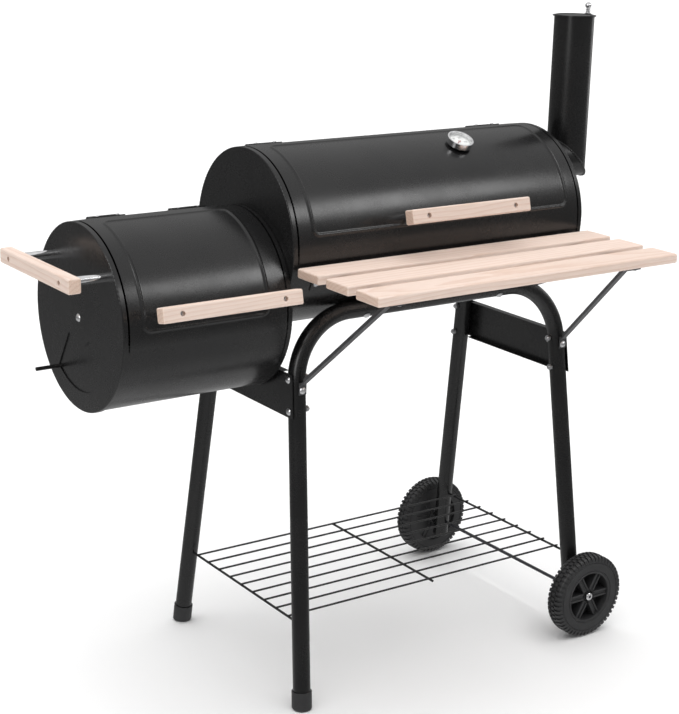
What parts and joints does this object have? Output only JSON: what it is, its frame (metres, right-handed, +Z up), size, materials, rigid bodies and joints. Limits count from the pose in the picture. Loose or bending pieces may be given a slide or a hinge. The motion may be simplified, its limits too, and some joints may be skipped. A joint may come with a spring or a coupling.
{
  "type": "barrel charcoal grill",
  "caption": "Horizontal barrel charcoal grill with a side firebox, smokestack, wooden shelf, and a bent-tube stand with two wheels.",
  "frame": {"origin": "middle of the outline on the floor", "axes": "+Z up; +X along the barrel from the firebox towards the smokestack; -Y towards the front, where the lids' handles and the shelf are"},
  "size_m": [1.1082, 0.6068, 1.1045],
  "materials": {
    "black_paint": "semi-gloss black paint over sheet steel",
    "black_wire": "black enamel on steel wire",
    "grey_paint": "dark grey paint on strip steel",
    "zinc": "bright zinc plate",
    "zinc_rod": "dark zinc-plated steel rod",
    "chrome": "polished chrome plate",
    "chrome_wire": "chrome-plated steel wire",
    "black_plastic": "matt moulded plastic",
    "wheel_plastic": "matt moulded plastic",
    "wood": "bare pale pine",
    "dial_white": "matt white print",
    "needle_red": "matt red paint",
    "glass": "clear flat glass"
  },
  "bodies": {
    "grill_body": {"front_leg_frame": "black_paint", "rear_leg_frame": "black_paint", "left_side_panel": "black_paint", "right_side_panel": "black_paint", "panel_bolts": "zinc", "foot_caps": "black_plastic", "leg_plugs": "black_plastic", "wire_shelf": "black_wire", "axle": "zinc_rod", "wheel_washers": "zinc", "hub_caps": "chrome", "main_shell": "black_paint", "main_left_plate": "black_paint", "main_right_plate": "black_paint", "barrel_bolts": "zinc", "grate_brackets": "black_paint", "main_body_hinges": "black_paint", "firebox_shell": "black_paint", "firebox_left_plate": "black_paint", "firebox_right_plate": "black_paint", "firebox_bolts": "zinc", "firebox_body_hinges": "black_paint", "side_handle": "wood", "side_handle_spacers": "chrome", "side_handle_screws": "zinc", "damper_screw": "zinc", "smokestack": "black_paint", "smokestack_flange": "black_paint", "smokestack_bolts": "zinc", "cap_pivot": "zinc", "cap_spring": "zinc", "shelf_back_slat": "wood", "shelf_middle_slat": "wood", "shelf_front_slat": "wood", "shelf_rails": "black_paint", "rail_bolts": "zinc", "shelf_struts": "grey_paint", "shelf_screws": "zinc", "strut_bolts": "zinc"},
    "main_lid": {"main_lid": "black_paint", "main_lid_hinges": "black_paint", "main_handle": "wood", "main_handle_spacers": "chrome", "main_handle_screws": "zinc", "thermometer_case": "chrome", "thermometer_dial": "dial_white", "thermometer_glass": "glass"},
    "gauge_needle": {"thermometer_needle": "needle_red"},
    "firebox_lid": {"firebox_lid": "black_paint", "firebox_lid_hinges": "black_paint", "firebox_handle": "wood", "firebox_handle_spacers": "chrome", "firebox_handle_screws": "zinc"},
    "air_damper": {"air_damper": "black_paint"},
    "stack_cap": {"stack_cap": "black_paint"},
    "front_wheel": {"front_wheel": "wheel_plastic"},
    "rear_wheel": {"rear_wheel": "wheel_plastic"},
    "cooking_grate": {"cooking_grate": "chrome_wire"},
    "charcoal_grate": {"charcoal_grate": "black_wire"},
    "firebox_grate": {"firebox_grate": "black_wire"}
  },
  "joints": [
    {"name": "main_lid_hinge", "type": "hinge", "parent": "grill_body", "child": "main_lid", "pos_m": [0.11639, 0.12787, 0.88585], "axis": [-1, 0, 0], "range_deg": [0, 130]},
    {"name": "firebox_lid_hinge", "type": "hinge", "parent": "grill_body", "child": "firebox_lid", "pos_m": [-0.33111, 0.1285, 0.79221], "axis": [-1, 0, 0], "range_deg": [0, 130]},
    {"name": "gauge_needle_turn", "type": "hinge", "parent": "main_lid", "child": "gauge_needle", "pos_m": [0.20039, -0.00039, 0.88112], "axis": [0, -0.4384, 0.8988], "range_deg": [-250, 0]},
    {"name": "air_damper_turn", "type": "hinge", "parent": "grill_body", "child": "air_damper", "pos_m": [-0.48061, 0.06405, 0.654], "axis": [-1, 0, 0], "range_deg": [0, 65]},
    {"name": "stack_cap_turn", "type": "hinge", "parent": "grill_body", "child": "stack_cap", "pos_m": [0.54711, 0.07445, 1.083], "axis": [0, 0, 1], "range_deg": [-150, 150]},
    {"name": "front_wheel_spin", "type": "hinge", "parent": "grill_body", "child": "front_wheel", "pos_m": [0.40839, -0.15935, 0.076], "axis": [0, 1, 0], "continuous": true},
    {"name": "rear_wheel_spin", "type": "hinge", "parent": "grill_body", "child": "rear_wheel", "pos_m": [0.40839, 0.28745, 0.076], "axis": [0, 1, 0], "continuous": true},
    {"name": "cooking_grate_lift", "type": "slide", "parent": "grill_body", "child": "cooking_grate", "axis": [0, 0, 1], "range_m": [0, 0.045]},
    {"name": "charcoal_grate_lift", "type": "slide", "parent": "grill_body", "child": "charcoal_grate", "axis": [0, 0, 1], "range_m": [0, 0.028]},
    {"name": "firebox_grate_lift", "type": "slide", "parent": "grill_body", "child": "firebox_grate", "axis": [0, 0, 1], "range_m": [0, 0.06]}
  ]
}
